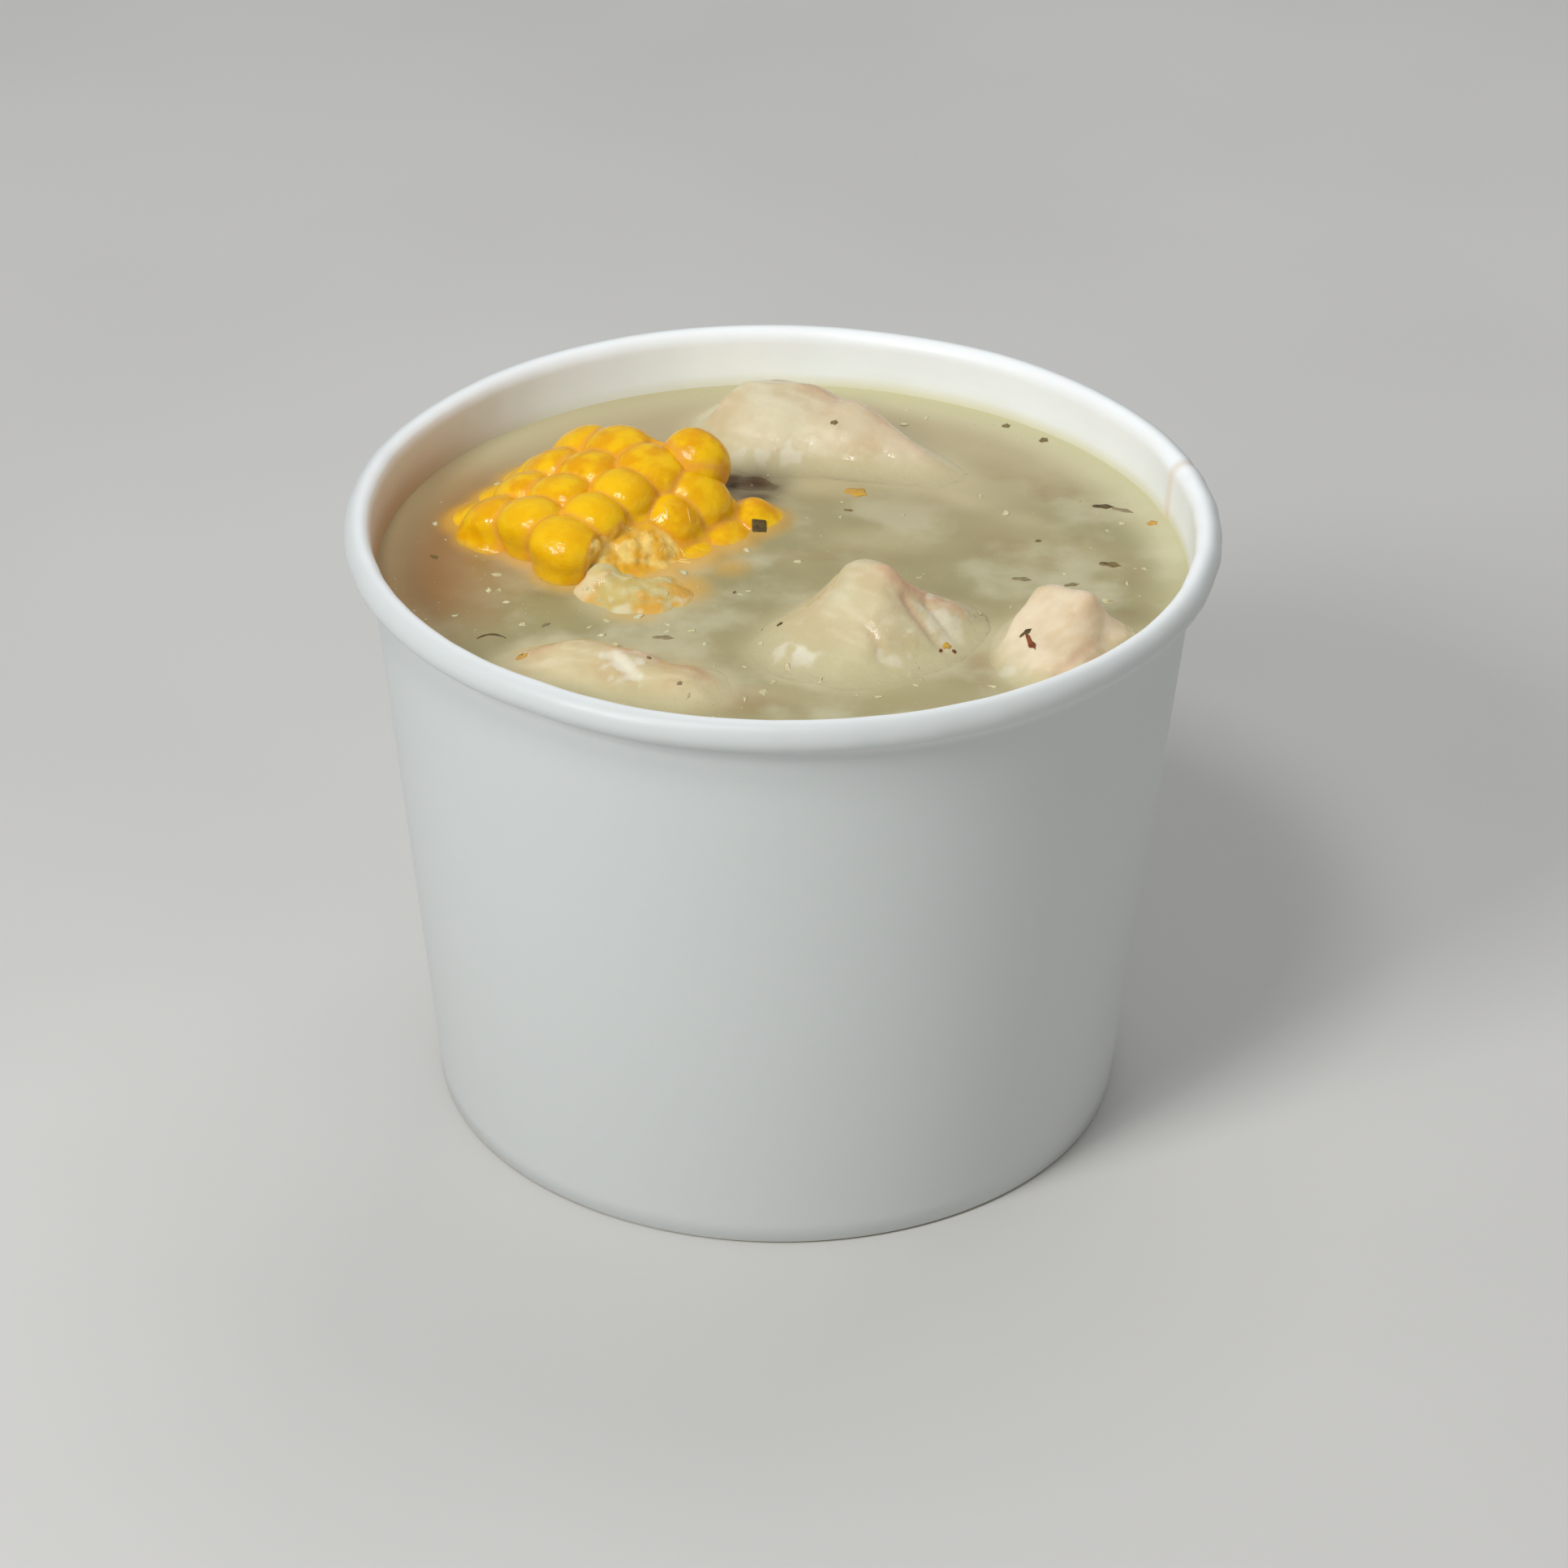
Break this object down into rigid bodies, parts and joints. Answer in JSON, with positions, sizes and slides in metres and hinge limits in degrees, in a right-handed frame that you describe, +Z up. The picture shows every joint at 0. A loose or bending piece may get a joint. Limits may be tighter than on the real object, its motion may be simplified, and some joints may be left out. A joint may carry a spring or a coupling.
{
  "type": "bowl of sancocho",
  "caption": "Paper soup cup filled with a cloudy pale broth, with a length of corn on the cob, chicken pieces and flecks of herb standing out of it.",
  "frame": {"origin": "middle of the cup's foot, on the surface it stands on", "axes": "+Z up, -Y towards the viewer of the picture, +X to the viewer's right"},
  "size_m": [0.098, 0.098, 0.0753],
  "materials": {
    "paper": "white coated paper board, satin",
    "broth": "cloudy pale olive-beige liquid, wet gloss",
    "cob": "pale torn cob, wet",
    "kernel": "cooked yellow corn, wet gloss",
    "chicken": "boiled pale meat, wet",
    "dark": "dark brown scrap, wet"
  },
  "bodies": {
    "root": {"cup_wall": "paper", "cup_base": "paper", "broth": "broth", "corn_cob": "cob", "corn_kernels": "kernel", "chicken_drumstick": "chicken", "chicken_peak": "chicken", "chicken_slab": "chicken", "chicken_sliver": "chicken", "dark_scrap": "dark"}
  },
  "joints": []
}
